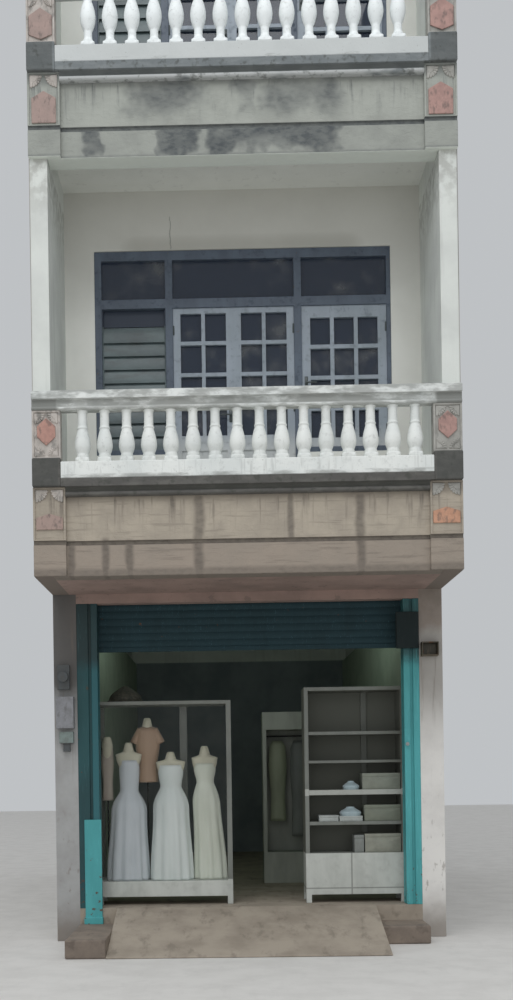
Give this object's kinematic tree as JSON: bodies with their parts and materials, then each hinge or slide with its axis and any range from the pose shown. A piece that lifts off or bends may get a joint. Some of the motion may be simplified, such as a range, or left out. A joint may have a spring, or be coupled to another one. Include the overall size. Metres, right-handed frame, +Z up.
{
  "type": "shophouse building",
  "caption": "Narrow three-storey shophouse in a row: open shop under two arcaded balconies with turned balusters, glazed doors and louvres, flat roof.",
  "frame": {"origin": "middle of the footprint at pavement level, which is the lowest level of the walls", "axes": "+X to the right as seen from the street, +Y from the street to the back, +Z up"},
  "size_m": [4.2, 10.09, 13.362],
  "materials": {
    "floor_concrete": "worn trowelled concrete",
    "step_render": "rough render",
    "shop_plaster": "limewashed plaster",
    "party_plaster": "weathered plaster",
    "slab_concrete": "painted concrete",
    "band_plaster": "streaked plaster",
    "stained_plaster": "black mould on plaster",
    "white_masonry": "white masonry paint",
    "grey_plaster": "grey plaster",
    "terracotta": "worn coloured cement",
    "frame_paint": "grey oil paint",
    "leaf_paint": "pale blue oil paint",
    "window_glass": "clear",
    "louvre_glass": "frosted",
    "dark_teal_paint": "worn satin",
    "teal_paint": "satin",
    "curtain_paint": "satin",
    "black_paint": "matt",
    "box_plastic": "matt",
    "rust_paint": "rusted",
    "furniture_paint": "white paint",
    "cabinet_grey": "grey laminate",
    "gown_cloth": "satin",
    "card_goods": "plain card",
    "basket_cane": "dark cane"
  },
  "bodies": {
    "root": {"shop_floor": "floor_concrete", "front_ramp": "floor_concrete", "side_steps": "step_render", "left_shop_wall": "shop_plaster", "right_shop_wall": "shop_plaster", "left_upper_wall": "party_plaster", "right_upper_wall": "party_plaster", "shop_lintel": "slab_concrete", "front_ceilings": "slab_concrete", "second_floor": "slab_concrete", "third_floor": "slab_concrete", "roof_slab": "slab_concrete", "lower_band": "band_plaster", "middle_band": "band_plaster", "top_band": "band_plaster", "cornices": "stained_plaster", "balustrade_plinths": "white_masonry", "second_balusters": "white_masonry", "third_balusters": "white_masonry", "handrails": "white_masonry", "pilasters": "band_plaster", "pedestals": "grey_plaster", "pedestal_bases": "stained_plaster", "hexagon_plaques": "terracotta", "corner_fans": "grey_plaster", "second_loggia_wall": "white_masonry", "third_loggia_wall": "white_masonry", "second_window_frame": "frame_paint", "third_window_frame": "frame_paint", "balcony_doors": "leaf_paint", "casements": "leaf_paint", "louvre_blades": "louvre_glass", "second_glass": "window_glass", "third_glass": "window_glass", "left_shutter_rail": "dark_teal_paint", "right_shutter_rail": "teal_paint", "rail_cover": "teal_paint", "shutter_curtain": "curtain_paint", "shutter_bottom_bar": "curtain_paint", "shutter_end_box": "black_paint", "meter_box": "box_plastic", "wall_bracket": "rust_paint", "rear_wall": "party_plaster", "rear_frames": "frame_paint", "rear_glass": "window_glass", "parapets": "party_plaster", "showcase": "furniture_paint", "showcase_glass": "window_glass", "shelf_case": "furniture_paint", "shelf_boards": "furniture_paint", "back_cabinet": "cabinet_grey", "gowns": "gown_cloth", "shelf_goods": "card_goods", "dark_basket": "basket_cane"}
  },
  "joints": []
}
